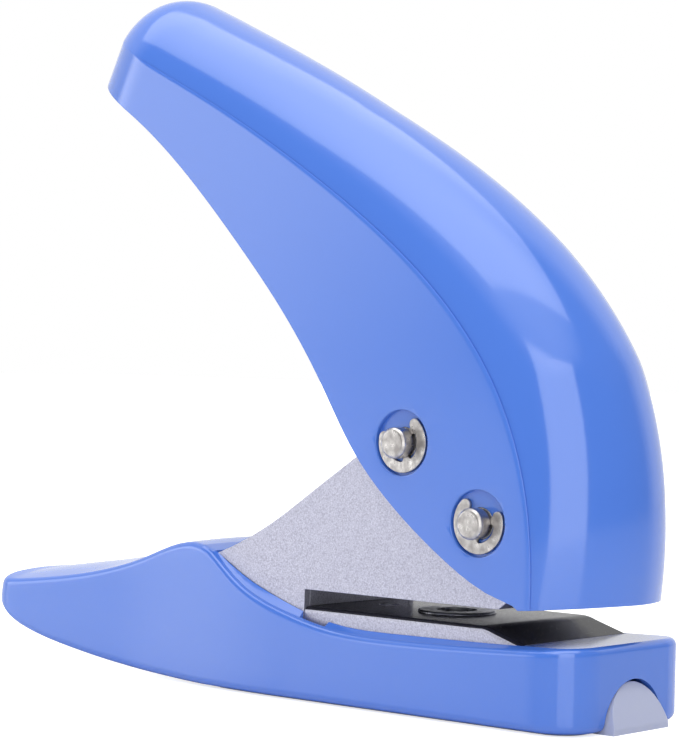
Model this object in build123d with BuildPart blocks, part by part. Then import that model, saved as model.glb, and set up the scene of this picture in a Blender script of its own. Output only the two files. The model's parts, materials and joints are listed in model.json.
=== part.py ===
from build123d import *
import os
from math import atan2, cos, degrees, hypot, radians, sin, sqrt

# Single-hole palm punch. +X points to the paper mouth, +Z up, and Y = 0 is the plane of symmetry.
# The origin is on the table, under the middle of the object's length. All sizes are millimetres.

# Handle: a hollow moulded lever
HANDLE_WIDTH = 30.1
HANDLE_WALL = 1.6
CROWN_STEP = 0.35            # the crown stands this far inside the flat side panels
CROWN_ROOT = 3.0             # how far the crown form reaches down behind the panels
HANDLE_BOTTOM_Z = 17.0
CREASE = [(-42.1, 105.6), (-25.1, 97.4), (-8.8, 89.5), (7.9, 80.2), (23.6, 70.0),
          (35.0, 60.6), (44.3, 49.3), (50.3, 35.3), (52.1, 20.5), (51.9, 12.0)]
PALM_EDGE = [(-44.1, 97.7), (-31.3, 91.2), (-17.2, 80.8), (-5.3, 69.4), (4.9, 58.4), (12.9, 47.8),
             (20.0, 37.4), (27.1, 30.3), (36.4, 23.4), (45.3, 18.7), (51.9, 17.0)]
CROWN_RISE = [9.0, 9.5, 9.8, 10.3, 11.2, 11.9, 12.2, 10.0, 8.1]
TIP_START = 0.028            # where the rounded tip begins along the crease
TIP_DOME = 9.0               # length over which the crown runs down to the tip
TIP_REACHES = [0.35, 1.6, 4.0, 8.0]
PALM_DROP = 5.0              # the cavity runs out this far through the open palm side
RIB_STATIONS = [0.16, 0.24, 0.32]
RIB_THICKNESS = 1.2
RIB_DEPTH = 7.0
RIB_ROOT = 0.3               # how far the ribs run into the walls
REACH = 150.0                # longer than anything it cuts

# Pins, the clips that hold them, and the pockets the clips sit in
PIN_R = 2.25
PIN_PROUD = 2.2              # how far a pin's end stands out of the side panel
PIN_CHAMFER = 0.4
PIN_FIT = 0.05               # radial clearance of a pin in a round hole
GROOVE_DEPTH = 0.65
CLIP_BAND = 1.65             # radial width of a clip's ring
CLIP_THICKNESS = 0.6
CLIP_GAP = 0.05
CLIP_ROOM = 0.45             # radial gap between a clip's ring and the pin
CLIP_TOOTH = 1.5
TOOTH_ROOT = 1.0             # how far a tooth runs into the clip's ring
CLIP_MOUTH = 5.8
PIVOT_CLIP_ANGLE = 75
DRIVE_CLIP_ANGLE = 110
SPACER_TUBE_WALL = 1.1
SLEEVE_WALL = 0.9
SLIDE_GAP = 0.2
POCKET_ROOM = 0.4
POCKET_DEPTH = 0.8
PIVOT_X, PIVOT_Z = 42.7, 28.7
DRIVE_X, DRIVE_Z = 28.6, 39.5
STROKE_ANGLE = 18.0

# Steel frame
SHEET = 1.2
SIDE_GAP = 0.3               # between the frame's walls and the handle's inner walls
SLOT_CLEARANCE = 0.3
THROAT_BOTTOM_Z = 14.1
THROAT_HEIGHT = 2.6
THROAT_REAR_X = 9.2
JAW_FRONT_X = 45.4
NOSE_BEND_X = 41.9
NOSE_FRONT_X = 49.7
NOSE_DROP = 2.1
NOSE_BEND = 2.5
NOSE_BEND_DROP = 0.5
NOSE_LEAN = 0.3
CHANNEL_BEND_R = 0.9
WELL_CLEARANCE = 0.1
WALL_BACK = [(-9.1, 20.8), (-4.0, 22.9), (4.0, 27.3), (11.8, 32.5), (18.6, 37.0), (24.4, 41.2)]
WALL_TOP = [(31.4, 44.6), (39.4, 40.6), (46.9, 34.5), (50.1, 27.5)]
WALL_FOOT_STEP = 1.5
JAW_NOSE = 3.0
SPACER_REAR_X = -6.1
RIVET_X, RIVET_Y, RIVET_R = -0.1, 7.0, 1.5
RIVET_HEAD_R, RIVET_HEAD_H = 2.6, 1.0

# Punch, guide, die and spring
PUNCH_X = 28.0
PUNCH_R = 3.0
PUNCH_FIT = 0.04
TIP_RECESS = 0.5             # how far the raised punch stands above the throat
TIP_HOLLOW_R = 4.6
TIP_HOLLOW = 1.0
YOKE_WALL = 2.3
YOKE_WIDTH = 8.0
YOKE_HEIGHT = 9.0
YOKE_SOCKET = 1.6
YOKE_CORNER_R = 1.5
YOKE_PLAY = 0.2              # play of the drive pin up and down in the yoke's slot
GUIDE_FLANGE = 2.0
GUIDE_FLANGE_H = 0.9
GUIDE_WALL = 0.8
GUIDE_NECK_H = 2.2
DIE_CLEARANCE = 0.06
DIE_WALL = 1.54
DIE_BOSS = 1.3
DIE_BOSS_H = 0.35
DIE_DEPTH = 3.4
SPRING_WIRE_R = 0.5
SPRING_ROOM = 0.3            # radial gap between the guide's neck and the spring's wire
SPRING_TURNS = 6
WASHER_H = 0.8

# Base: a moulded shell with a chip chamber underneath
BASE_RIM = 2.05              # wall beside the frame's well
BASE_WALL = 1.8
BASE_REAR_X = -62.0
BASE_FRONT_X = 59.8
BASE_BOTTOM_Z = 0.3
TAIL_WIDTH = 24.8
TAIL_CORNER_R = 5.5
FRONT_CORNER_R = 6.5
TAIL_NOSE_Z = 9.6
WAIST_FRONT_X = 3.9
WAIST_REAR_X = -32.1
DOOR_DROP = 0.3
HINGE_ROOM = 0.7
TAIL_ROOF = 2.2
RELIEF_LENGTH, RELIEF_WIDTH = 5.0, 1.2
SCREW_FIT = 0.15
SCREW_TIP = 0.3
SCREW_CROSS_W = 0.8
CHIP_HOLE_ROOM = 0.6
HINGE_SEAT = 1.0
DECK_Z = 10.3
DECK_THICKNESS = 1.6
BOTTOM = [(-54.7, 5.6), (-42.5, 2.9), (-27.1, 1.0), (-12.0, 0.3)]
RIM = [(-55.6, 13.0), (-43.8, 14.2), (-34.5, 15.9), (-25.6, 18.4), (-14.6, 20.9), (-6.1, 16.2),
       (2.3, 13.1), (14.3, 10.8), (29.5, 10.2), (43.9, 10.9), (59.8, 12.1)]
SADDLE = [(-55.6, 13.0), (-43.8, 14.4), (-34.5, 16.2), (-25.6, 18.9), (-11.6, 22.0), (-3.8, 18.3),
          (4.5, 14.9), (14.5, 12.2), (27.8, 11.6), (42.5, 11.8), (59.8, 12.3)]
RIDGE = [(-57.2, 14.7), (-45.6, 16.4), (-34.0, 18.2), (-24.9, 20.2), (-11.6, 22.2), *SADDLE[5:]]
RIDGE_HALF = 3.5             # half width of the flat on top of the tail
SCREW_R, SCREW_HEAD_R, SCREW_HEAD_H = 1.5, 2.75, 1.9
SCREW_XS = [-3.5, 14.9]
POST_R = 3.4

# Chip door under the base
DOOR_GAP = 0.5
DOOR_THICKNESS = 1.3
DOOR_WALL_H = 3.2
HINGE_X, HINGE_Z = -8.5, 2.5
HINGE_PIN_R = 1.0
HINGE_BARREL_R = 2.2
TAB_R = 6.9
TAB_GAP = 0.45
TAB_PROUD = 1.4
TAB_LIP = 1.0
TAB_LEAN = 0.7

handle_half = HANDLE_WIDTH / 2
cavity_half = handle_half - HANDLE_WALL
frame_half = cavity_half - SIDE_GAP
groove_r = PIN_R - GROOVE_DEPTH
clip_bore_r = PIN_R + CLIP_ROOM
clip_r = clip_bore_r + CLIP_BAND
pocket_r = clip_r + POCKET_ROOM
frame_inner = frame_half - SHEET
pocket_floor = handle_half - POCKET_DEPTH
throat_top_z = THROAT_BOTTOM_Z + THROAT_HEIGHT
web_top_z = throat_top_z + SHEET
die_under_z = THROAT_BOTTOM_Z - SHEET
slot_half = PIN_R + SLOT_CLEARANCE
channel_rear_x = THROAT_REAR_X + WELL_CLEARANCE
arm = (DRIVE_X - PIVOT_X, DRIVE_Z - PIVOT_Z)
arm_length = hypot(*arm)
arm_angle = degrees(atan2(arm[1], arm[0]))
low_angle = radians(arm_angle + STROKE_ANGLE)
drive_low_x = PIVOT_X + arm_length * cos(low_angle)
yoke_bottom_z = DRIVE_Z - YOKE_HEIGHT / 2
punch_tip_z = throat_top_z + TIP_RECESS
guide_neck_r = PUNCH_R + GUIDE_WALL
guide_flange_r = guide_neck_r + GUIDE_FLANGE
die_r = PUNCH_R + DIE_CLEARANCE
die_bush_r = die_r + DIE_WALL
spring_r = guide_neck_r + SPRING_ROOM + SPRING_WIRE_R
well_half = frame_half + WELL_CLEARANCE
base_half = well_half + BASE_RIM
chamber_half = base_half - BASE_WALL
chamber_top_z = DECK_Z - DECK_THICKNESS
chamber_front_x = BASE_FRONT_X - BASE_WALL
door_rear_x = HINGE_X - HINGE_BARREL_R
chamber_rear_x = door_rear_x - HINGE_ROOM
rest_z = BASE_BOTTOM_Z - DOOR_DROP


def write(part, name):
    """Labels a finished piece and writes it under its node's name."""
    part.label = name
    export_step(part, f"parts/{name}.step")


def pin_plane(x, z, turn=0):
    """Plane across the object, its origin on a pin's axis and its X turned up by turn degrees."""
    x_dir = (cos(radians(turn)), 0, sin(radians(turn)))
    return Plane(origin=(x, 0, z), x_dir=x_dir, z_dir=(0, -1, 0))


os.makedirs("parts", exist_ok=True)

# ---------------------------------------------------------------- handle
with BuildLine(Plane.XZ) as crease_line:
    crease = Spline(CREASE)

tip_point = crease @ TIP_START
tip_along = crease % TIP_START
tip_up = Vector(-tip_along.Z, 0, tip_along.X)


def crown_rise(station):
    """Height of the crown over the crease at a station from 0, the tip, to 1."""
    place = station * (len(CROWN_RISE) - 1)
    lower = min(int(place), len(CROWN_RISE) - 2)
    share = place - lower
    return CROWN_RISE[lower] * (1 - share) + CROWN_RISE[lower + 1] * share


def crown_sections(inset):
    """(station, half width, rise) of each crown section, from the tip to the mouth."""
    full = handle_half - CROWN_STEP - inset
    start = TIP_START + inset / crease.length
    sections = []
    for reach in TIP_REACHES:
        station = start + reach / crease.length
        width = sqrt(full**2 - (full - reach) ** 2)
        dome = sqrt(1 - (1 - reach / TIP_DOME) ** 2)
        sections.append((station, width, (crown_rise(station) - inset) * dome))
    shoulder = start + handle_half / crease.length
    sections.append((shoulder, full, crown_rise(shoulder) - inset))
    last = len(CROWN_RISE) - 1
    for knot in range(2, last + 1):
        sections.append((knot / last, full, CROWN_RISE[knot] - inset))
    return sections


def handle_form(inset, drop):
    """Closed form of the handle, its walls moved in by inset and its open edge down by drop."""
    half = handle_half - inset
    with BuildPart() as form:
        with BuildSketch(Plane.XZ):
            with BuildLine():
                Spline(CREASE)
                edge = Spline([(x - drop, z - drop) for x, z in PALM_EDGE])
                Line(CREASE[-1], edge @ 1)
                Line(CREASE[0], edge @ 0)
            make_face()
        extrude(amount=half, both=True)
        tip_start = tip_point + tip_along * inset
        with BuildSketch(Plane(origin=tip_start, x_dir=tip_along, z_dir=tip_up)):
            with BuildLine():
                ThreePointArc((half, half), (0, 0), (half, -half))
                Polyline((half, -half), (REACH, -half), (REACH, half), (half, half))
            make_face()
        extrude(amount=REACH, both=True, mode=Mode.INTERSECT)
        sections = []
        for station, width, rise in crown_sections(inset):
            plane = Plane(origin=crease @ station, x_dir=(0, 1, 0), z_dir=crease % station)
            with BuildSketch(plane, mode=Mode.PRIVATE) as arch:
                with BuildLine():
                    ThreePointArc((-width, 0), (0, rise), (width, 0))
                    Polyline((width, 0), (width, -CROWN_ROOT), (-width, -CROWN_ROOT), (-width, 0))
                make_face()
            sections.append(arch.sketch.faces()[0])
        loft(sections)
        split(bisect_by=Plane.XY.offset(HANDLE_BOTTOM_Z - drop), keep=Keep.TOP)
    return form.part


def handle_ribs():
    """Cross ribs that stiffen the palm end, cut to the handle's cavity."""
    with BuildPart() as ribs:
        for station in RIB_STATIONS:
            plane = Plane(origin=crease @ station, x_dir=(0, 1, 0), z_dir=crease % station)
            with BuildSketch(plane):
                Rectangle(HANDLE_WIDTH, 2 * RIB_DEPTH)
            extrude(amount=RIB_THICKNESS / 2, both=True)
        add(handle_form(HANDLE_WALL - RIB_ROOT, 0), mode=Mode.INTERSECT)
    return ribs.part


with BuildPart() as handle_shell:
    add(handle_form(0, 0))
    add(handle_form(HANDLE_WALL, PALM_DROP), mode=Mode.SUBTRACT)
    add(handle_ribs())
    for x, z in ((PIVOT_X, PIVOT_Z), (DRIVE_X, DRIVE_Z)):
        with BuildSketch(pin_plane(x, z)):
            Circle(PIN_R + PIN_FIT)
        extrude(amount=handle_half, both=True, mode=Mode.SUBTRACT)
        for side in (-1, 1):
            with BuildSketch(pin_plane(x, z).offset(side * pocket_floor)):
                Circle(pocket_r)
            extrude(amount=side * POCKET_DEPTH, mode=Mode.SUBTRACT)
write(handle_shell.part, "handle_shell")


# ---------------------------------------------------------------- pins and their clips
def grooved_pin(x, z):
    """Cross pin with a groove for a clip over each pocket floor and chamfered ends."""
    with BuildPart() as pin:
        with BuildSketch(pin_plane(x, z)):
            Circle(PIN_R)
        extrude(amount=handle_half + PIN_PROUD, both=True)
        chamfer(pin.edges().filter_by(GeomType.CIRCLE), PIN_CHAMFER)
        for side in (-1, 1):
            with BuildSketch(pin_plane(x, z).offset(side * pocket_floor)):
                Circle(PIN_R + PIN_FIT)
                Circle(groove_r, mode=Mode.SUBTRACT)
            extrude(amount=side * (CLIP_THICKNESS + 2 * CLIP_GAP), mode=Mode.SUBTRACT)
    return pin.part


def clip_pair(x, z, mouth_angle):
    """The two E-shaped retaining clips of one pin, their mouths turned to mouth_angle."""
    with BuildPart() as clips:
        for side in (-1, 1):
            seat = pin_plane(x, z, mouth_angle).offset(side * (pocket_floor + CLIP_GAP))
            with BuildSketch(seat):
                Circle(clip_r)
                Circle(clip_bore_r, mode=Mode.SUBTRACT)
                with PolarLocations(0, 3, start_angle=90, angular_range=180, endpoint=True):
                    with Locations(((clip_bore_r + groove_r + TOOTH_ROOT) / 2, 0)):
                        Rectangle(clip_bore_r - groove_r + TOOTH_ROOT, CLIP_TOOTH)
                Circle(groove_r + CLIP_GAP, mode=Mode.SUBTRACT)
                with Locations((clip_r, 0)):
                    Rectangle(2 * clip_r, CLIP_MOUTH, mode=Mode.SUBTRACT)
            extrude(amount=side * CLIP_THICKNESS)
    return clips.part


with BuildPart() as pivot_pin:
    add(grooved_pin(PIVOT_X, PIVOT_Z))
write(pivot_pin.part, "pivot_pin")

with BuildPart() as drive_pin:
    add(grooved_pin(DRIVE_X, DRIVE_Z))
write(drive_pin.part, "drive_pin")

with BuildPart() as pivot_clips:
    add(clip_pair(PIVOT_X, PIVOT_Z, PIVOT_CLIP_ANGLE))
write(pivot_clips.part, "pivot_clips")

with BuildPart() as drive_clips:
    add(clip_pair(DRIVE_X, DRIVE_Z, DRIVE_CLIP_ANGLE))
write(drive_clips.part, "drive_clips")

with BuildPart() as pivot_spacer:
    with BuildSketch(pin_plane(PIVOT_X, PIVOT_Z)):
        Circle(PIN_R + PIN_FIT + SPACER_TUBE_WALL)
        Circle(PIN_R + PIN_FIT, mode=Mode.SUBTRACT)
    extrude(amount=frame_inner, both=True)
write(pivot_spacer.part, "pivot_spacer")

with BuildPart() as drive_sleeves:
    for side in (-1, 1):
        with BuildSketch(pin_plane(DRIVE_X, DRIVE_Z).offset(side * (YOKE_WIDTH / 2 + SLIDE_GAP))):
            Circle(PIN_R + PIN_FIT + SLEEVE_WALL)
            Circle(PIN_R + PIN_FIT, mode=Mode.SUBTRACT)
        extrude(amount=side * (frame_inner - YOKE_WIDTH / 2 - 2 * SLIDE_GAP))
write(drive_sleeves.part, "drive_sleeves")

# ---------------------------------------------------------------- steel frame
drive_path = CenterArc((PIVOT_X, PIVOT_Z), arm_length, arm_angle, STROKE_ANGLE)
with BuildPart() as jaw_frame:
    with BuildSketch(Plane.XZ):
        with BuildLine():
            back = Spline(WALL_BACK)
            top = Spline([back @ 1, *WALL_TOP], tangents=[back % 1, (0, -1)])
            lip = (JAW_FRONT_X, throat_top_z)
            ThreePointArc(top @ 1, (JAW_FRONT_X + JAW_NOSE, throat_top_z + JAW_NOSE), lip)
            Polyline(lip, (THROAT_REAR_X, throat_top_z), (THROAT_REAR_X, DECK_Z),
                     (WALL_BACK[0][0] + WALL_FOOT_STEP, DECK_Z), back @ 0)
        make_face()
    extrude(amount=frame_half, both=True)
    with BuildSketch(Plane.XY.offset(web_top_z)):
        with Locations(((REACH + SPACER_REAR_X) / 2, 0)):
            Rectangle(REACH - SPACER_REAR_X, 2 * frame_inner)
    extrude(amount=REACH, mode=Mode.SUBTRACT)
    with BuildSketch(Plane.XY.offset(DECK_Z)):
        with Locations((SPACER_REAR_X - REACH / 2, 0)):
            Rectangle(REACH, 2 * frame_inner)
    extrude(amount=REACH, mode=Mode.SUBTRACT)
    with BuildSketch(Plane.XY.offset(DECK_Z)):
        with Locations(((THROAT_REAR_X + SPACER_REAR_X) / 2, 0)):
            Rectangle(THROAT_REAR_X - SPACER_REAR_X, 2 * frame_inner)
    extrude(amount=throat_top_z - DECK_Z, mode=Mode.SUBTRACT)
    with BuildSketch(Plane.XZ):
        with Locations((PIVOT_X, PIVOT_Z)):
            Circle(PIN_R + PIN_FIT)
    extrude(amount=frame_half, both=True, mode=Mode.SUBTRACT)
    with BuildSketch(Plane.XZ):
        SlotArc(drive_path, 2 * slot_half)
    extrude(amount=frame_half, both=True, mode=Mode.SUBTRACT)
    with Locations((PUNCH_X, 0, web_top_z)):
        Hole(guide_neck_r, depth=SHEET)
    with Locations((RIVET_X, RIVET_Y, web_top_z), (RIVET_X, -RIVET_Y, web_top_z)):
        Hole(RIVET_R, depth=SHEET)
write(jaw_frame.part, "jaw_frame")

with BuildPart() as die_channel:
    with BuildSketch(Plane.XZ):
        with BuildLine():
            bend_start = (NOSE_BEND_X, THROAT_BOTTOM_Z)
            bend_end = (NOSE_BEND_X + NOSE_BEND, THROAT_BOTTOM_Z - NOSE_BEND_DROP)
            Polyline((channel_rear_x, DECK_Z), (channel_rear_x, THROAT_BOTTOM_Z), bend_start)
            TangentArc(bend_start, bend_end, tangent=(1, 0))
            Polyline(bend_end, (NOSE_FRONT_X, THROAT_BOTTOM_Z - NOSE_DROP),
                     (NOSE_FRONT_X - NOSE_LEAN, DECK_Z), (channel_rear_x, DECK_Z))
        make_face()
    extrude(amount=frame_half, both=True)
    outer_edges = die_channel.edges().filter_by(lambda e: abs(abs(e.center().Y) - frame_half) < SHEET)
    long_edges = outer_edges.filter_by(lambda e: e.center().Z > DECK_Z + SHEET and abs((e % 0.5).X) > 0.5)
    fillet(long_edges, CHANNEL_BEND_R)
    with BuildSketch(Plane.XZ):
        with BuildLine():
            Polyline((NOSE_FRONT_X - SHEET, DECK_Z), (-REACH, DECK_Z), (-REACH, die_under_z),
                     (NOSE_BEND_X, die_under_z), close=True)
        make_face()
    extrude(amount=frame_inner, both=True, mode=Mode.SUBTRACT)
    with BuildSketch(Plane.XY.offset(die_under_z)):
        with Locations(((channel_rear_x + SPACER_REAR_X) / 2, 0)):
            Rectangle(channel_rear_x - SPACER_REAR_X, 2 * (frame_inner - WELL_CLEARANCE))
    extrude(amount=SHEET)
    with Locations((PUNCH_X, 0, THROAT_BOTTOM_Z)):
        Hole(die_bush_r, depth=SHEET)
    with Locations((RIVET_X, RIVET_Y, THROAT_BOTTOM_Z), (RIVET_X, -RIVET_Y, THROAT_BOTTOM_Z)):
        Hole(RIVET_R, depth=SHEET)
    with Locations(*[(x, 0, THROAT_BOTTOM_Z) for x in SCREW_XS]):
        Hole(SCREW_R + PIN_FIT, depth=SHEET)
write(die_channel.part, "die_channel")

with BuildPart() as throat_spacer:
    with BuildSketch(Plane.XY.offset(THROAT_BOTTOM_Z)):
        with Locations(((THROAT_REAR_X + SPACER_REAR_X) / 2, 0)):
            Rectangle(THROAT_REAR_X - SPACER_REAR_X, 2 * (frame_inner - WELL_CLEARANCE))
        with Locations((RIVET_X, RIVET_Y), (RIVET_X, -RIVET_Y)):
            Circle(RIVET_R, mode=Mode.SUBTRACT)
        with Locations((SCREW_XS[0], 0)):
            Circle(SCREW_R + PIN_FIT, mode=Mode.SUBTRACT)
    extrude(amount=THROAT_HEIGHT)
write(throat_spacer.part, "throat_spacer")

with BuildPart() as frame_rivets:
    for side in (-1, 1):
        with BuildSketch(Plane.XY.offset(die_under_z)):
            with Locations((RIVET_X, side * RIVET_Y)):
                Circle(RIVET_R)
        extrude(amount=web_top_z - die_under_z)
        for level, rise in ((web_top_z, RIVET_HEAD_H), (die_under_z, -RIVET_HEAD_H)):
            with BuildSketch(Plane.XY.offset(level)):
                with Locations((RIVET_X, side * RIVET_Y)):
                    Circle(RIVET_HEAD_R)
            extrude(amount=rise, taper=25)
write(frame_rivets.part, "frame_rivets")

# ---------------------------------------------------------------- punch, guide, die and spring
with BuildPart() as guide_bush:
    with BuildSketch(Plane.XY.offset(throat_top_z)):
        with Locations((PUNCH_X, 0)):
            Circle(guide_neck_r)
    extrude(amount=SHEET + GUIDE_FLANGE_H + GUIDE_NECK_H)
    with BuildSketch(Plane.XY.offset(web_top_z)):
        with Locations((PUNCH_X, 0)):
            Circle(guide_flange_r)
    extrude(amount=GUIDE_FLANGE_H)
    with Locations((PUNCH_X, 0, web_top_z)):
        Hole(PUNCH_R + PUNCH_FIT)
write(guide_bush.part, "guide_bush")

with BuildPart() as die_bush:
    with BuildSketch(Plane.XY.offset(THROAT_BOTTOM_Z)):
        with Locations((PUNCH_X, 0)):
            Circle(die_bush_r)
    extrude(amount=-DIE_DEPTH)
    with BuildSketch(Plane.XY.offset(THROAT_BOTTOM_Z)):
        with Locations((PUNCH_X, 0)):
            Circle(die_bush_r + DIE_BOSS)
    extrude(amount=DIE_BOSS_H, taper=30)
    with Locations((PUNCH_X, 0, THROAT_BOTTOM_Z)):
        Hole(die_r)
write(die_bush.part, "die_bush")

with BuildPart() as punch_rod:
    with BuildSketch(Plane.XY.offset(punch_tip_z)):
        with Locations((PUNCH_X, 0)):
            Circle(PUNCH_R)
    extrude(amount=yoke_bottom_z + YOKE_SOCKET - punch_tip_z)
    with BuildSketch(Plane.XZ):
        with Locations((PUNCH_X, punch_tip_z - TIP_HOLLOW_R + TIP_HOLLOW)):
            Circle(TIP_HOLLOW_R)
    extrude(amount=2 * PUNCH_R, both=True, mode=Mode.SUBTRACT)
write(punch_rod.part, "punch_rod")

with BuildPart() as punch_yoke:
    slot_front = DRIVE_X + slot_half
    slot_rear = drive_low_x - slot_half
    slot_middle = (slot_front + slot_rear) / 2
    with BuildSketch(Plane.XZ):
        with Locations((slot_middle, DRIVE_Z)):
            RectangleRounded(slot_front - slot_rear + 2 * YOKE_WALL, YOKE_HEIGHT, YOKE_CORNER_R)
            SlotOverall(slot_front - slot_rear, 2 * (PIN_R + YOKE_PLAY), mode=Mode.SUBTRACT)
    extrude(amount=YOKE_WIDTH / 2, both=True)
    with BuildSketch(Plane.XY.offset(yoke_bottom_z)):
        with Locations((PUNCH_X, 0)):
            Circle(PUNCH_R)
    extrude(amount=YOKE_SOCKET, mode=Mode.SUBTRACT)
write(punch_yoke.part, "punch_yoke")

spring_low_z = web_top_z + GUIDE_FLANGE_H
spring_high_z = yoke_bottom_z - WASHER_H
with BuildPart() as spring_washer:
    with BuildSketch(Plane.XY.offset(spring_high_z)):
        with Locations((PUNCH_X, 0)):
            Circle(guide_flange_r)
            Circle(PUNCH_R + PIN_FIT, mode=Mode.SUBTRACT)
    extrude(amount=WASHER_H)
write(spring_washer.part, "spring_washer")

spring_height = spring_high_z - spring_low_z - 2 * SPRING_WIRE_R - 2 * CLIP_GAP
with BuildPart() as return_spring:
    with BuildLine(Plane.XY.offset(spring_low_z + SPRING_WIRE_R + CLIP_GAP)) as coil_line:
        coil = Helix(spring_height / SPRING_TURNS, spring_height, spring_r, center=(PUNCH_X, 0, 0))
    with BuildSketch(Plane(origin=coil @ 0, z_dir=coil % 0)):
        Circle(SPRING_WIRE_R)
    sweep(path=coil, is_frenet=True)
write(return_spring.part, "return_spring")

# ---------------------------------------------------------------- base
front_face = (BASE_FRONT_X, BASE_BOTTOM_Z)


def base_slab(near_top, far_top, near, far):
    """Full-length slab of the base between two Y levels, under a top curve at each."""
    with BuildPart() as slab:
        for level, points in ((near, near_top), (far, far_top)):
            with BuildSketch(Plane.XZ.offset(-level)):
                with BuildLine():
                    top = Spline(points)
                    foot = Spline(BOTTOM)
                    ThreePointArc(foot @ 0, (BASE_REAR_X, TAIL_NOSE_Z), top @ 0)
                    Polyline(foot @ 1, front_face, top @ 1)
                make_face()
        loft(ruled=True)
    return slab.part


def base_plan(inset):
    """Half-lengths of the base seen from above, as a closed outline moved in by inset."""
    wide = base_half - inset
    slim = TAIL_WIDTH / 2 - inset
    rear = BASE_REAR_X + inset
    front = BASE_FRONT_X - inset
    corner = FRONT_CORNER_R - inset
    tail_corner = TAIL_CORNER_R - inset
    with BuildSketch(mode=Mode.PRIVATE) as plan:
        with BuildLine():
            nose = Line((front, 0), (front, wide - corner))
            turn = JernArc(nose @ 1, (0, 1), corner, 90)
            side = Line(turn @ 1, (WAIST_FRONT_X, wide))
            waist = Spline([side @ 1, (WAIST_REAR_X, slim)], tangents=[(-1, 0), (-1, 0)])
            tail = Line(waist @ 1, (rear + tail_corner, slim))
            round_off = JernArc(tail @ 1, (-1, 0), tail_corner, 90)
            Line(round_off @ 1, (rear, 0))
            mirror(about=Plane.XZ)
        make_face()
    return plan.sketch


def tail_cavity():
    """Hollow of the tail, one wall inside the base's outline all round."""
    front = WALL_BACK[0][0] - WELL_CLEARANCE - BASE_WALL
    with BuildPart() as hollow:
        with BuildSketch(Plane.XZ):
            with BuildLine():
                top = Spline([(x, z - TAIL_ROOF) for x, z in RIM[:4]])
                foot = Spline([(x, z + BASE_WALL) for x, z in BOTTOM])
                Line(foot @ 0, top @ 0)
                Polyline(foot @ 1, (front, BASE_BOTTOM_Z + BASE_WALL), (front, RIM[3][1] - TAIL_ROOF),
                         top @ 1)
            make_face()
        extrude(amount=base_half, both=True)
        with BuildSketch():
            add(base_plan(BASE_WALL))
        extrude(amount=REACH, mode=Mode.INTERSECT)
    return hollow.part


def hinge_bar(radius, inset):
    """Round bar on the door's hinge axis, its ends moved in from the base's outline by inset."""
    with BuildPart() as bar:
        with BuildSketch(pin_plane(HINGE_X, HINGE_Z)):
            Circle(radius)
        extrude(amount=base_half, both=True)
        with BuildSketch():
            add(base_plan(inset))
        extrude(amount=REACH, mode=Mode.INTERSECT)
    return bar.part


def tab_arch(radius, near_x, far_x):
    """Half-round arch at the mouth end, standing on the table level."""
    with BuildPart() as arch:
        with BuildSketch(Plane.YZ.offset(near_x)):
            Circle(radius)
        extrude(amount=far_x - near_x)
        split(bisect_by=Plane.XY, keep=Keep.TOP)
    return arch.part


with BuildPart() as chamber:
    with BuildSketch():
        add(base_plan(BASE_WALL))
    extrude(amount=chamber_top_z)
    split(bisect_by=Plane.YZ.offset(chamber_rear_x), keep=Keep.TOP)

with BuildPart() as base_shell:
    add(base_slab(RIDGE, RIDGE, -RIDGE_HALF, RIDGE_HALF))
    for side in (-1, 1):
        add(base_slab(RIDGE, SADDLE, side * RIDGE_HALF, side * well_half))
        add(base_slab(SADDLE, RIM, side * well_half, side * base_half))
    with BuildSketch():
        add(base_plan(0))
    extrude(amount=REACH, mode=Mode.INTERSECT)
    add(tail_cavity(), mode=Mode.SUBTRACT)
    add(chamber.part, mode=Mode.SUBTRACT)
    well_rear_x = WALL_BACK[0][0] - WELL_CLEARANCE
    well_front_x = NOSE_FRONT_X + WELL_CLEARANCE
    with BuildSketch(Plane.XY.offset(DECK_Z)):
        with Locations(((well_rear_x + well_front_x) / 2, 0)):
            Rectangle(well_front_x - well_rear_x, 2 * well_half)
        with Locations((THROAT_REAR_X + RELIEF_LENGTH / 2, 0)):
            Rectangle(RELIEF_LENGTH, 2 * (well_half + RELIEF_WIDTH))
    extrude(amount=REACH, mode=Mode.SUBTRACT)
    with BuildSketch(Plane.XY.offset(DECK_Z)):
        with Locations(*[(x, 0) for x in SCREW_XS]):
            Circle(POST_R)
    extrude(amount=die_under_z - DECK_Z)
    with Locations(*[(x, 0, die_under_z) for x in SCREW_XS]):
        Hole(SCREW_R + SCREW_FIT, depth=die_under_z - chamber_top_z)
    with Locations((PUNCH_X, 0, DECK_Z)):
        Hole(die_bush_r + CHIP_HOLE_ROOM, depth=DECK_THICKNESS)
    add(hinge_bar(HINGE_PIN_R, BASE_WALL - HINGE_SEAT), mode=Mode.SUBTRACT)
    add(tab_arch(TAB_R + TAB_GAP, chamber_front_x - BASE_WALL, BASE_FRONT_X + BASE_WALL), mode=Mode.SUBTRACT)
write(base_shell.part, "base_shell")

with BuildPart() as base_screws:
    for x, top_z in zip(SCREW_XS, (throat_top_z - SCREW_TIP, THROAT_BOTTOM_Z - SCREW_TIP)):
        with BuildSketch(Plane.XY.offset(chamber_top_z - SCREW_HEAD_H)):
            with Locations((x, 0)):
                Circle(SCREW_HEAD_R)
        extrude(amount=SCREW_HEAD_H)
        with BuildSketch(Plane.XY.offset(chamber_top_z)):
            with Locations((x, 0)):
                Circle(SCREW_R)
        extrude(amount=top_z - chamber_top_z)
        with BuildSketch(Plane.XY.offset(chamber_top_z - SCREW_HEAD_H)):
            with Locations((x, 0)):
                Rectangle(SCREW_HEAD_R * 1.2, SCREW_CROSS_W)
                Rectangle(SCREW_CROSS_W, SCREW_HEAD_R * 1.2)
        extrude(amount=SCREW_HEAD_H / 2, mode=Mode.SUBTRACT)
write(base_screws.part, "base_screws")

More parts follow.
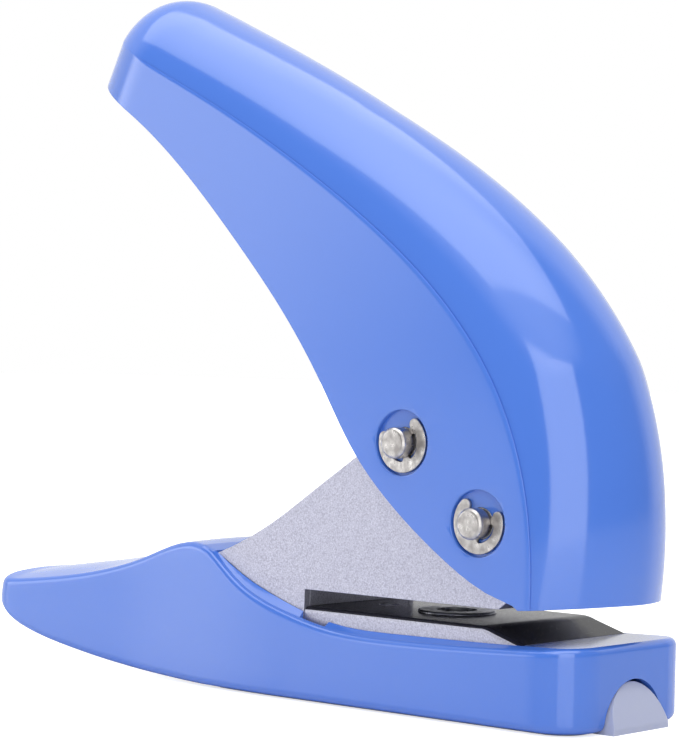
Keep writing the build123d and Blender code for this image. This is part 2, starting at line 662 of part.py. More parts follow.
# ---------------------------------------------------------------- chip door
with BuildPart() as hinge_pin:
    add(hinge_bar(HINGE_PIN_R, BASE_WALL - HINGE_SEAT))
write(hinge_pin.part, "hinge_pin")

door_front_x = chamber_front_x - DOOR_GAP
with BuildPart() as chip_door:
    with BuildSketch(Plane.XY.offset(rest_z)):
        add(base_plan(BASE_WALL + DOOR_GAP))
    extrude(amount=DOOR_THICKNESS + DOOR_WALL_H)
    with BuildSketch(Plane.XY.offset(rest_z + DOOR_THICKNESS)):
        add(base_plan(BASE_WALL + DOOR_GAP + DOOR_THICKNESS))
    extrude(amount=DOOR_WALL_H, mode=Mode.SUBTRACT)
    split(bisect_by=Plane.YZ.offset(HINGE_X), keep=Keep.TOP)
    add(hinge_bar(HINGE_BARREL_R, BASE_WALL + DOOR_GAP))
    add(hinge_bar(HINGE_PIN_R + PIN_FIT, 0), mode=Mode.SUBTRACT)

with BuildPart() as tab_block:
    with BuildSketch(Plane.XZ):
        with BuildLine():
            Polyline((door_front_x - DOOR_THICKNESS, rest_z), (BASE_FRONT_X + TAB_PROUD, rest_z),
                     (BASE_FRONT_X + TAB_PROUD, rest_z + TAB_LIP), (BASE_FRONT_X - TAB_LEAN, TAB_R),
                     (door_front_x - DOOR_THICKNESS, TAB_R), close=True)
        make_face()
    extrude(amount=TAB_R, both=True)
    add(tab_arch(TAB_R, door_front_x - DOOR_THICKNESS, BASE_FRONT_X + TAB_PROUD), mode=Mode.INTERSECT)

with chip_door:
    add(tab_block.part)
write(chip_door.part, "chip_door")
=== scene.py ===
"""Single-hole palm punch: its looks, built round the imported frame."""
import json
import logging
import math
from dataclasses import dataclass, field
from enum import Enum
from functools import cache
from typing import Callable, Mapping, Sequence

import bmesh
import bpy
import numpy as np
from mathutils import Matrix, Vector


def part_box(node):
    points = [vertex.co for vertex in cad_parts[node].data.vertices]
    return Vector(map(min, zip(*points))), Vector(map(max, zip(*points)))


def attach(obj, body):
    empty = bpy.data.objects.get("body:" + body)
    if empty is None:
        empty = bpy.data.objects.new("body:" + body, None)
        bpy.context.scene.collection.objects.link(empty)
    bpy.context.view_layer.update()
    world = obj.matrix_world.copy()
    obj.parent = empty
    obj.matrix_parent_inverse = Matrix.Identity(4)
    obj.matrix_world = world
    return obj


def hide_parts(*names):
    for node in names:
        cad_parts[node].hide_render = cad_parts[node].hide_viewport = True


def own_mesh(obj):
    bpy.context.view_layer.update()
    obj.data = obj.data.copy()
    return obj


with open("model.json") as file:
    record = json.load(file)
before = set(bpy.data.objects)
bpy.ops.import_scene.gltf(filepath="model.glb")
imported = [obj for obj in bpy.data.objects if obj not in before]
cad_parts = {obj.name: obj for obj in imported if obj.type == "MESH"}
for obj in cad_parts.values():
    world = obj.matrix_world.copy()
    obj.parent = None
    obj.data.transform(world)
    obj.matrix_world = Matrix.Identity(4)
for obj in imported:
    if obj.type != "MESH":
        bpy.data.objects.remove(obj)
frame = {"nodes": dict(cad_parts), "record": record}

MM = 0.001
LOG = logging.getLogger("palm_punch")
Point = tuple[float, float]
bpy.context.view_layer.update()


# ------------------------------------------------------------------ small tools
class Finish(Enum):
    """The record's material slots."""

    SHELL = "shell_blue"
    DOOR = "door_grey"
    SHEET = "galvanised_sheet"
    PLATE = "nickel_plate"
    TOOL = "tool_steel"
    SPRING = "spring_steel"
    NYLON = "nylon"


def colour(code: str) -> tuple[float, float, float, float]:
    """Turns an sRGB hex code into linear light.

    Args:
        code: six hex digits, such as "7f9cf0".

    Returns:
        Linear red, green, blue and an alpha of one.
    """
    shares = (int(code[i:i + 2], 16) / 255 for i in (0, 2, 4))
    linear = [c / 12.92 if c <= 0.04045 else ((c + 0.055) / 1.055) ** 2.4 for c in shares]
    return (linear[0], linear[1], linear[2], 1.0)


def add_node(tree: bpy.types.NodeTree, kind: str, settings: dict | None = None,
             links: dict | None = None) -> bpy.types.Node:
    """Adds one node with its settings and its incoming links.

    Args:
        tree: the node tree that takes it.
        kind: the node's type name.
        settings: values by property name, or by socket name or index.
        links: output sockets by the name or index of the input that they feed.

    Returns:
        The new node.
    """
    node = tree.nodes.new(kind)
    for key, value in (settings or {}).items():
        if isinstance(key, str) and hasattr(node, key):
            setattr(node, key, value)
        else:
            node.inputs[key].default_value = value
    for key, socket in (links or {}).items():
        tree.links.new(socket, node.inputs[key])
    return node


def polar(radius: float, angle: float) -> Point:
    """Turns a radius and an angle in degrees into a flat point."""
    return radius * math.cos(math.radians(angle)), radius * math.sin(math.radians(angle))


class Curve:
    """A smooth line through a few points of a flat view, in millimetres."""

    def __init__(self, points: Sequence[Point]) -> None:
        """Fits one cubic to each span, with the bend continuous at every point.

        Args:
            points: the points, in order.
        """
        self.points = np.array(points, float)
        steps = np.hypot(*np.diff(self.points, axis=0).T)
        self.knots = np.concatenate([[0.0], np.cumsum(steps)])
        self.length = float(self.knots[-1])
        count = len(self.points)
        system = np.eye(count)
        wanted = np.zeros((count, 2))
        for i in range(1, count - 1):
            before, after = steps[i - 1], steps[i]
            system[i, i - 1:i + 2] = before, 2 * (before + after), after
            slope_change = ((self.points[i + 1] - self.points[i]) / after
                            - (self.points[i] - self.points[i - 1]) / before)
            wanted[i] = 6 * slope_change
        self.bends = np.linalg.solve(system, wanted)

    def at(self, distance: float) -> tuple[np.ndarray, np.ndarray]:
        """Point and unit direction at a distance along the line.

        Args:
            distance: millimetres from the first point.

        Returns:
            The point and the direction there.
        """
        i = int(np.clip(np.searchsorted(self.knots, distance) - 1, 0, len(self.knots) - 2))
        span = self.knots[i + 1] - self.knots[i]
        left = (self.knots[i + 1] - distance) / span
        right = 1 - left
        start, end = self.points[i], self.points[i + 1]
        bend_a, bend_b = self.bends[i], self.bends[i + 1]
        point = (left * start + right * end
                 + ((left**3 - left) * bend_a + (right**3 - right) * bend_b) * span**2 / 6)
        run = ((end - start) / span
               + ((3 * right**2 - 1) * bend_b - (3 * left**2 - 1) * bend_a) * span / 6)
        return point, run / np.hypot(*run)

    def height_near(self, z: float) -> float:
        """First coordinate where the line comes down to z, near its far end."""
        spots = [self.at(d)[0] for d in np.linspace(self.length * 0.6, self.length, 200)]
        return float(min(spots, key=lambda p: abs(p[1] - z))[0])

    def height(self, x: float) -> float:
        """Second coordinate where the first one is x, for a line that never turns back.

        Args:
            x: the first coordinate.

        Returns:
            The second coordinate, held at the line's ends.
        """
        low, high = 0.0, self.length
        for _ in range(30):
            middle = (low + high) / 2
            if self.at(middle)[0][0] < x:
                low = middle
            else:
                high = middle
        return float(self.at(low)[0][1])


def sheet(bm: bmesh.types.BMesh, rows: int, columns: int,
          place: Callable[[int, int], Sequence[float]]) -> None:
    """Lays a grid of faces over a surface.

    Args:
        bm: the mesh that takes the grid.
        rows: lines of vertices one way.
        columns: lines of vertices the other way.
        place: gives the millimetre position of a row and column.
    """
    made = bmesh.ops.create_grid(bm, x_segments=columns - 1, y_segments=rows - 1, size=1.0)
    for vert in made["verts"]:
        column = round((vert.co.x + 1) / 2 * (columns - 1))
        row = round((vert.co.y + 1) / 2 * (rows - 1))
        vert.co = Vector(place(row, column)) * MM


def as_object(bm: bmesh.types.BMesh, name: str) -> bpy.types.Object:
    """Makes a mesh object of a bmesh and frees it.

    Args:
        bm: the finished bmesh.
        name: the piece's name.

    Returns:
        The object, linked to the scene.
    """
    mesh = bpy.data.meshes.new(name)
    bm.to_mesh(mesh)
    bm.free()
    made = bpy.data.objects.new(name, mesh)
    bpy.context.scene.collection.objects.link(made)
    return made


def settle(piece: bpy.types.Object) -> None:
    """Turns a piece's modifiers into mesh.

    Args:
        piece: the object whose stack is applied.
    """
    graph = bpy.context.evaluated_depsgraph_get()
    mesh = bpy.data.meshes.new_from_object(piece.evaluated_get(graph))
    piece.modifiers.clear()
    piece.data = mesh


def round_bar(centre: Sequence[float], radius: float, length: float, axis: str) -> bpy.types.Object:
    """A plain bar that cuts a round hole or pocket.

    Args:
        centre: its middle, in millimetres.
        radius: its radius in millimetres.
        length: its length in millimetres.
        axis: X, Y or Z, the way it runs.

    Returns:
        The bar, to be handed to cut().
    """
    bm = bmesh.new()
    turn = {"X": Matrix.Rotation(math.pi / 2, 4, "Y"), "Y": Matrix.Rotation(math.pi / 2, 4, "X"),
            "Z": Matrix.Identity(4)}[axis]
    bmesh.ops.create_cone(bm, cap_ends=True, segments=72, radius1=radius * MM, radius2=radius * MM,
                          depth=length * MM, matrix=Matrix.Translation(Vector(centre) * MM) @ turn)
    return as_object(bm, "cutter")


def pocket_tool(x: float, z: float, side: int, face: float, radius: float, depth: float,
                ease: float) -> bpy.types.Object:
    """A round pocket's cutter, flared at the surface so that the pocket's edge comes out eased.

    Args:
        x: where the pocket lies along the object, in millimetres.
        z: its height.
        side: -1 or 1, the side of the object.
        face: distance of the surface from the middle.
        radius: the pocket's radius.
        depth: the pocket's depth.
        ease: width of the eased edge.

    Returns:
        The cutter.
    """
    bm = bmesh.new()
    profile = [(0.0, face - depth), (radius, face - depth), (radius, face - ease),
               (radius + 0.3 * ease, face - 0.3 * ease), (radius + ease, face),
               (radius + ease, face + 1), (0.0, face + 1)]
    chain = [bm.verts.new(Vector((x + out, side * level, z)) * MM) for out, level in profile]
    edges = [bm.edges.new(pair) for pair in zip(chain, chain[1:])]
    bmesh.ops.spin(bm, geom=chain + edges, cent=Vector((x, 0, z)) * MM, axis=(0, 1, 0),
                   angle=2 * math.pi, steps=72, use_merge=True)
    bmesh.ops.remove_doubles(bm, verts=bm.verts, dist=0.001 * MM)
    bmesh.ops.recalc_face_normals(bm, faces=bm.faces)
    return as_object(bm, "cutter")


def cut(piece: bpy.types.Object, tools: Sequence[bpy.types.Object]) -> None:
    """Takes the tools' shapes out of a piece and removes the tools.

    Args:
        piece: the piece to be cut.
        tools: closed cutting shapes.
    """
    for tool in tools:
        step = piece.modifiers.new("cut", "BOOLEAN")
        step.operation = "DIFFERENCE"
        step.solver = "EXACT"
        step.object = tool
    settle(piece)
    for tool in tools:
        bpy.data.objects.remove(tool)


def shade(piece: bpy.types.Object, angle: float = 40.0) -> None:
    """Shades a piece smooth, with its real edges kept crisp.

    Args:
        piece: the piece.
        angle: edges sharper than this many degrees stay crisp.
    """
    piece.data.shade_smooth()
    piece.data.set_sharp_from_angle(angle=math.radians(angle))
    weigh = piece.modifiers.new("normals", "WEIGHTED_NORMAL")
    weigh.keep_sharp = True


def soften(piece: bpy.types.Object, width: float, angle: float = 40.0, segments: int = 2) -> None:
    """Rounds a piece's sharp edges and shades it smooth.

    Args:
        piece: the piece.
        width: width of the rounding, in millimetres.
        angle: edges sharper than this many degrees are rounded.
        segments: steps in the rounding.
    """
    bevel = piece.modifiers.new("edges", "BEVEL")
    bevel.width = width * MM
    bevel.segments = segments
    bevel.limit_method = "ANGLE"
    bevel.angle_limit = math.radians(angle)
    bevel.use_clamp_overlap = True
    settle(piece)
    shade(piece, angle)


def node_copy(name: str, node: str) -> bpy.types.Object:
    """Merged copy of a frame node's mesh, ready for its edges to be rounded.

    Args:
        name: the new piece's name.
        node: the frame node that it stands for.

    Returns:
        The new object.
    """
    bm = bmesh.new()
    bm.from_mesh(frame["nodes"][node].data)
    bmesh.ops.remove_doubles(bm, verts=bm.verts, dist=0.002 * MM)
    bmesh.ops.dissolve_limit(bm, angle_limit=math.radians(0.3), verts=bm.verts, edges=bm.edges)
    return as_object(bm, name)


def hand_over(piece: bpy.types.Object, body: str, finish: Finish,
              nodes: Sequence[str] = ()) -> None:
    """Dresses a finished piece and gives it to its body.

    Args:
        piece: the piece.
        body: the moving body that it rides on.
        finish: its slot in the record, which also gives its surface.
        nodes: frame nodes that it stands for.
    """
    piece.data.materials.clear()
    piece.data.materials.append(surface_of(finish))
    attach(piece, body)
    if nodes:
        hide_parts(*nodes)
    LOG.info("%s: %d faces on %s", piece.name, len(piece.data.polygons), body)


# ------------------------------------------------------------------ finishes
@dataclass(frozen=True)
class MouldedPlastic:
    """Injection-moulded ABS, polished: a clear gloss over one even colour."""

    name: str
    body: str                    # colour of the plastic
    shade: str                   # the colour it drifts to over the piece
    roughness: float = 0.11
    gloss_level: float = 0.5     # strength of the clear reflection
    drift_mm: float = 40.0       # length over which the colour drifts
    peel_mm: float = 2.4         # waviness of the moulded gloss
    peel: float = 0.02
    grain_mm: float = 0.35       # fine dust and handling marks in the gloss
    translucency: float = 0.0

    def material(self) -> bpy.types.Material:
        """Builds the material.

        Returns:
            The material, ready for a slot.
        """
        made, tree, surface = new_surface(self.name)
        place = add_node(tree, "ShaderNodeTexCoord").outputs["Object"]
        drift = add_node(tree, "ShaderNodeTexNoise", {"Scale": 1000 / self.drift_mm, "Detail": 2.0},
                         {"Vector": place})
        mix = add_node(tree, "ShaderNodeMix", {"data_type": "RGBA", 6: colour(self.body),
                                               7: colour(self.shade)}, {0: drift.outputs["Fac"]})
        tree.links.new(mix.outputs[2], surface.inputs["Base Color"])
        grain = add_node(tree, "ShaderNodeTexNoise", {"Scale": 1000 / self.grain_mm, "Detail": 4.0},
                         {"Vector": place})
        gloss = add_node(tree, "ShaderNodeMapRange", {1: 0.3, 2: 0.75, 3: self.roughness * 0.8,
                                                      4: self.roughness * 1.35},
                         {0: grain.outputs["Fac"]})
        tree.links.new(gloss.outputs[0], surface.inputs["Roughness"])
        peel = add_node(tree, "ShaderNodeTexNoise", {"Scale": 1000 / self.peel_mm, "Detail": 1.0},
                        {"Vector": place})
        bump = add_node(tree, "ShaderNodeBump", {"Strength": self.peel, "Distance": 0.1 * MM},
                        {"Height": peel.outputs["Fac"]})
        tree.links.new(bump.outputs[0], surface.inputs["Normal"])
        surface.inputs["Specular IOR Level"].default_value = self.gloss_level
        surface.inputs["Subsurface Weight"].default_value = self.translucency
        surface.inputs["Subsurface Radius"].default_value = (0.001, 0.001, 0.002)
        return made


@dataclass(frozen=True)
class Metal:
    """Metal with a crystalline or worn mottle in its brightness and its gloss."""

    name: str
    bright: str
    dull: str
    roughness: float
    mottle_mm: float             # size of the spangle or of the wear
    spread: float = 0.12         # how much the roughness changes
    relief: float = 0.05
    scratch_mm: float = 0.25

    def material(self) -> bpy.types.Material:
        """Builds the material.

        Returns:
            The material, ready for a slot.
        """
        made, tree, surface = new_surface(self.name)
        surface.inputs["Metallic"].default_value = 1.0
        place = add_node(tree, "ShaderNodeTexCoord").outputs["Object"]
        warp = add_node(tree, "ShaderNodeTexNoise", {"Scale": 1000 / self.mottle_mm, "Detail": 6.0,
                                                     "Roughness": 0.65}, {"Vector": place})
        cells = add_node(tree, "ShaderNodeTexVoronoi", {"Scale": 1000 / self.mottle_mm},
                         {"Vector": place})
        tone = add_node(tree, "ShaderNodeMath", {"operation": "MULTIPLY_ADD", 1: 0.45},
                        {0: cells.outputs["Distance"], 2: warp.outputs["Fac"]})
        ramp = add_node(tree, "ShaderNodeMapRange", {1: 0.35, 2: 0.95}, {0: tone.outputs[0]})
        mix = add_node(tree, "ShaderNodeMix", {"data_type": "RGBA", 6: colour(self.bright),
                                               7: colour(self.dull)}, {0: ramp.outputs[0]})
        gloss = add_node(tree, "ShaderNodeMapRange", {1: 0.3, 2: 1.0, 3: self.roughness - self.spread,
                                                      4: self.roughness + self.spread},
                         {0: tone.outputs[0]})
        tree.links.new(mix.outputs[2], surface.inputs["Base Color"])
        tree.links.new(gloss.outputs[0], surface.inputs["Roughness"])
        fine = add_node(tree, "ShaderNodeTexNoise", {"Scale": 1000 / self.scratch_mm, "Detail": 3.0},
                        {"Vector": place})
        bump = add_node(tree, "ShaderNodeBump", {"Strength": self.relief, "Distance": 0.1 * MM},
                        {"Height": fine.outputs["Fac"]})
        tree.links.new(bump.outputs[0], surface.inputs["Normal"])
        return made


def new_surface(name: str) -> tuple[bpy.types.Material, bpy.types.NodeTree, bpy.types.Node]:
    """Starts a material.

    Args:
        name: its name.

    Returns:
        The material, its tree and its surface shader.
    """
    made = bpy.data.materials.new(name)
    made.use_nodes = True
    return made, made.node_tree, made.node_tree.nodes["Principled BSDF"]


FINISHES = {
    # Polished injection-moulded ABS: one even colour under a clear gloss with a faint waviness.
    Finish.SHELL: MouldedPlastic("blue_polished_abs", "4b79d7", "4674d1", gloss_level=0.85),
    # Natural polypropylene: milky and satin, so it shows soft highlights only.
    Finish.DOOR: MouldedPlastic("grey_polypropylene", "b6bcd4", "aeb4ce", roughness=0.42, peel=0.05,
                                translucency=0.1),
    # Natural nylon: off-white and dull.
    Finish.NYLON: MouldedPlastic("white_nylon", "dddcd4", "d2d1c8", roughness=0.45),
    # Galvanised sheet: a pale grey with fine bright and dull spangles, drawn a little coarse to show.
    Finish.SHEET: Metal("galvanised_sheet", "d7d8e6", "b2b2c2", 0.5, 0.24, relief=0.3),
    # Nickel plate over cut ends: warm and bright, with a cloudy struck surface.
    Finish.PLATE: Metal("nickel_plate", "d6d3d0", "9c9896", 0.3, 1.1, relief=0.5, scratch_mm=0.5),
    # Ground and hardened tool steel: darker, with an even satin sheen.
    Finish.TOOL: Metal("ground_tool_steel", "b9bac0", "8e9096", 0.3, 1.2),
    # Drawn spring wire: dark and oily.
    Finish.SPRING: Metal("oiled_spring_steel", "9a9ca4", "6f7178", 0.32, 1.0),
}
# Painted shade: the dark throat under the upper jaw, painted nearly black on level steel, with a weak
# gloss.
PAINTED_THROAT_SHADE = MouldedPlastic("painted_throat_shade_on_sheet", "26262f", "1b1b24", roughness=0.22, gloss_level=0.12)


@cache
def surface_of(finish: Finish) -> bpy.types.Material:
    """The one material of a finish, made when it is first asked for."""
    return FINISHES[finish].material()


# ------------------------------------------------------------------ handle
@dataclass
class Handle:
    """Hollow moulded lever: two flat panels under a crowned back, open on the palm side."""

    crease: Sequence[Point] = ((-42.1, 105.6), (-25.1, 97.4), (-8.8, 89.5), (7.9, 80.2),
                               (23.6, 70.0), (35.0, 60.6), (44.3, 49.3), (50.3, 35.3),
                               (52.1, 20.5), (51.9, 12.0))
    palm: Sequence[Point] = ((-44.1, 97.7), (-31.3, 91.2), (-17.2, 80.8), (-5.3, 69.4),
                             (4.9, 58.4), (12.9, 47.8), (20.0, 37.4), (27.1, 30.3),
                             (36.4, 23.4), (45.3, 18.7), (51.9, 17.0))
    rises: Sequence[float] = (9.0, 9.5, 9.8, 10.3, 11.2, 11.9, 12.2, 10.0, 8.1)
    wall: float = 1.6
    step: float = 0.4            # the crown's edge stands this far inside the panels
    fold: float = 0.75           # height of the rounding on top of a panel
    groove: Sequence[Point] = ((1.0, 0.2), (0.85, 0.24))  # shares of the step, and depths
    lip: float = 0.75            # rounding of the open edge
    fade_start: float = 0.55     # the crease appears this many half widths from the tip
    fade_run: float = 0.6        # and is whole this many further on
    tip_share: float = 0.028     # where the rounded tip begins along the crease
    chin_start: float = 50.0     # the mouth end's lower edge rises from here forward
    chin_run: float = 10.0
    chin_lift: float = 0.8
    chin_height: float = 16.0
    dome: float = 9.0
    pocket_room: float = 0.4
    pocket_depth: float = 0.8
    pocket_ease: float = 0.2
    pin_room: float = 0.05
    rib_stations: Sequence[float] = (0.16, 0.24, 0.32)
    rib_thickness: float = 1.2
    rib_depth: float = 7.0
    rib_sink: float = 0.3

    def __post_init__(self) -> None:
        """Reads the sizes that the frame holds."""
        self.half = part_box("handle_shell")[1].y / MM
        self.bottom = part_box("handle_shell")[0].z / MM
        self.line = Curve(self.crease)
        edge = Curve(self.palm)
        self.edge = np.array([edge.at(d)[0] for d in np.linspace(0, edge.length, 400)])
        self.start = self.tip_share * self.line.length

    def crown_rise(self, distance: float) -> float:
        """Height of the crown above the crease at a distance along it."""
        share = distance / self.line.length * (len(self.rises) - 1)
        return float(np.interp(share, range(len(self.rises)), self.rises))

    def depth(self, point: np.ndarray, up: np.ndarray) -> float:
        """How far below the crease the open edge lies, straight down a section.

        Args:
            point: the crease point, (x, z).
            up: the section's upward direction.

        Returns:
            Millimetres from the crease down to the open edge.
        """
        offset = self.edge - point
        along = np.array([up[1], -up[0]])
        side = offset @ along
        crossings = [
            -(offset[i] + (offset[i + 1] - offset[i]) * side[i] / (side[i] - side[i + 1])) @ up
            for i in range(len(side) - 1) if side[i] * side[i + 1] <= 0 and side[i] != side[i + 1]]
        return min((c for c in crossings if c > 0), default=0.02)

    def half_section(self, width: float, rise: float, depth: float, fade: float) -> list[Point]:
        """One side of a cross-section, from the top of the crown to the open edge.

        Args:
            width: half width of the panels here.
            rise: height of the crown here.
            depth: depth of the panel here.
            fade: 0 at the tip, where the crease fades away, to 1.

        Returns:
            Points as (out, up) from the crease.
        """
        step = self.step * fade
        fold = self.fold * fade
        crown = max(width - step, 1e-4)
        rise = max(rise, 1e-4)
        radius = (crown**2 + rise**2) / (2 * rise)
        sweep = math.asin(min(crown / radius, 1.0))
        points = [(radius * math.sin(sweep * t), rise - radius + radius * math.cos(sweep * t))
                  for t in np.linspace(0, 1, 17)]
        points += [(width - step * share, -depth_down * fade) for share, depth_down in self.groove]
        points += [(width - step * (1 - math.sin(a)), -fold * (1 - math.cos(a)))
                   for a in np.linspace(0.5, math.pi / 2, 5)]
        reach = max(depth - fold, 0.01)
        points += [(width, -fold - reach * t) for t in (0.06, 0.15, 0.3, 0.5, 0.7, 0.85, 1.0)]
        return points

    def sections(self, inset: float) -> list[list[tuple[float, float, float]]]:
        """Every cross-section, from the tip to the mouth end, in millimetres.

        Args:
            inset: how far inside the outer surface.

        Returns:
            Rows of points.
        """
        half, start = self.half - inset, self.start + inset
        stations = [(start + half * (1 - math.cos(a)), half * math.sin(a))
                    for a in np.linspace(0, math.pi / 2, 26)]
        rest = np.linspace(stations[-1][0], self.line.length, 90)[1:]
        stations += [(distance, half) for distance in rest]
        sections = []
        for distance, width in stations:
            point, along = self.line.at(distance)
            up = np.array([-along[1], along[0]])
            reach = distance - start
            dome = math.sqrt(max(1 - (1 - min(reach / self.dome, 1)) ** 2, 0))
            fade = 0.0
            if inset == 0:
                fade = float(np.clip((reach - self.fade_start * half) / (self.fade_run * half), 0, 1))
            fade = fade**2 * (3 - 2 * fade)
            side = self.half_section(width, (self.crown_rise(distance) - inset) * dome,
                                     self.depth(point, up), fade)
            whole = [(-out, height) for out, height in reversed(side[1:])] + side
            sections.append([(point[0] + up[0] * height, out, point[1] + up[1] * height)
                             for out, height in whole])
        return sections

    def shell(self) -> bpy.types.Object:
        """Makes the moulded lever: two skins, joined along the open edge, then cut.

        Returns:
            The lever with its clip pockets and pin holes.
        """
        bm = bmesh.new()
        skins = []
        for inset in (0.0, self.wall):
            rows = self.sections(inset)
            skin = bmesh.new()
            sheet(skin, len(rows), len(rows[0]), lambda row, column: rows[row][column])
            bmesh.ops.remove_doubles(skin, verts=skin.verts, dist=0.01 * MM)
            whole = [*skin.verts, *skin.edges, *skin.faces]
            bmesh.ops.bisect_plane(skin, geom=whole, dist=0.001 * MM, clear_inner=True,
                                   plane_co=(0, 0, self.bottom * MM), plane_no=(0, 0, 1))
            bmesh.ops.dissolve_degenerate(skin, dist=0.002 * MM, edges=skin.edges)
            self.lift_chin(skin)
            skins.append(as_object(skin, "skin"))
        for skin in skins:
            bm.from_mesh(skin.data)
            bpy.data.objects.remove(skin)
        rim = [e for e in bm.edges if e.is_boundary]
        bmesh.ops.bridge_loops(bm, edges=rim)
        bmesh.ops.recalc_face_normals(bm, faces=bm.faces)
        outer = [e for e in rim if e.is_valid and self.on_outside(e)]
        bmesh.ops.bevel(bm, geom=outer, offset=self.lip * MM, offset_type="OFFSET", segments=4,
                        profile=0.5, affect="EDGES", material=-1, clamp_overlap=True)
        piece = as_object(bm, "handle_moulding")
        cut(piece, self.pin_cutters())
        shade(piece, 50.0)
        return piece

    def lift_chin(self, skin: bmesh.types.BMesh) -> None:
        """Raises the lower edge of the mouth end a little towards its front.

        Args:
            skin: one skin of the lever.
        """
        for vert in skin.verts:
            low = np.clip(1 - (vert.co.z / MM - self.bottom) / self.chin_height, 0, 1)
            ahead = np.clip((vert.co.x / MM - self.chin_start) / self.chin_run, 0, 1)
            vert.co.z += self.chin_lift * ahead * low**2 * MM

    def on_outside(self, edge: bmesh.types.BMEdge) -> bool:
        """Tells whether an edge of the open rim belongs to the outer skin.

        Args:
            edge: an edge of the rim.

        Returns:
            True for the outer skin, False for the inner one.
        """
        middle = (edge.verts[0].co + edge.verts[1].co) / 2 / MM
        if abs(middle.y) > self.half - self.wall / 2:
            return True
        if middle.x < 0:
            tip, along = self.line.at(self.start)
            offset = np.array([middle.x, middle.z]) - tip
            return math.hypot(offset @ along - self.half, middle.y) > self.half - self.wall / 2
        front = self.line.height_near(self.bottom)
        crown = self.half - self.step
        rise = self.rises[-1]
        radius = (crown**2 + rise**2) / (2 * rise)
        return math.hypot(middle.x - front - rise + radius, middle.y) > radius - self.wall / 2

    def pin_cutters(self) -> list[bpy.types.Object]:
        """Makes the shapes that open the pin holes and the pockets for the clips.

        Returns:
            One bar and two pocket cutters for each pin.
        """
        tools = []
        for pin, clips in (("pivot_pin", "pivot_clips"), ("drive_pin", "drive_clips")):
            low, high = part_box(pin)
            x, z = (low.x + high.x) / 2 / MM, (low.z + high.z) / 2 / MM
            radius = (high.x - low.x) / 2 / MM
            clip_low, clip_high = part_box(clips)
            pocket = (clip_high.x - clip_low.x) / 2 / MM + self.pocket_room
            tools.append(round_bar((x, 0, z), radius + self.pin_room, 4 * self.half, "Y"))
            for side in (-1, 1):
                tools.append(pocket_tool(x, z, side, self.half, pocket, self.pocket_depth,
                                         self.pocket_ease))
        return tools

    def ribs(self) -> bpy.types.Object:
        """Makes the cross ribs inside the palm end.

        Returns:
            The ribs, sunk a little into the wall.
        """
        bm = bmesh.new()
        inner = self.half - self.wall + self.rib_sink
        for share in self.rib_stations:
            distance = share * self.line.length
            point, along = self.line.at(distance)
            up = np.array([-along[1], along[0]])
            rise = self.crown_rise(distance) - self.wall + self.rib_sink
            crown = inner - self.step
            radius = (crown**2 + rise**2) / (2 * rise)
            sweep = math.asin(crown / radius)
            outline = [(radius * math.sin(a), rise - radius + radius * math.cos(a))
                       for a in np.linspace(-sweep, sweep, 25)]
            foot = inner - self.rib_sink
            outline += [(foot, -self.rib_depth), (-foot, -self.rib_depth)]
            base = Vector((along[0], 0, along[1])) * (-self.rib_thickness / 2)
            ring = [bm.verts.new((Vector((point[0] + up[0] * h, out, point[1] + up[1] * h)) + base) * MM)
                    for out, h in outline]
            face = bm.faces.new(ring)
            made = bmesh.ops.extrude_face_region(bm, geom=[face], use_keep_orig=True)
            moved = [g for g in made["geom"] if isinstance(g, bmesh.types.BMVert)]
            bmesh.ops.translate(bm, verts=moved, vec=-2 * base * MM)
        bmesh.ops.recalc_face_normals(bm, faces=bm.faces)
        piece = as_object(bm, "handle_ribs")
        soften(piece, 0.15, 50.0)
        return piece

    def build(self) -> None:
        """Makes the lever's moulding and dresses it."""
        hand_over(self.shell(), "lever", Finish.SHELL, ["handle_shell"])
        hand_over(self.ribs(), "lever", Finish.SHELL)


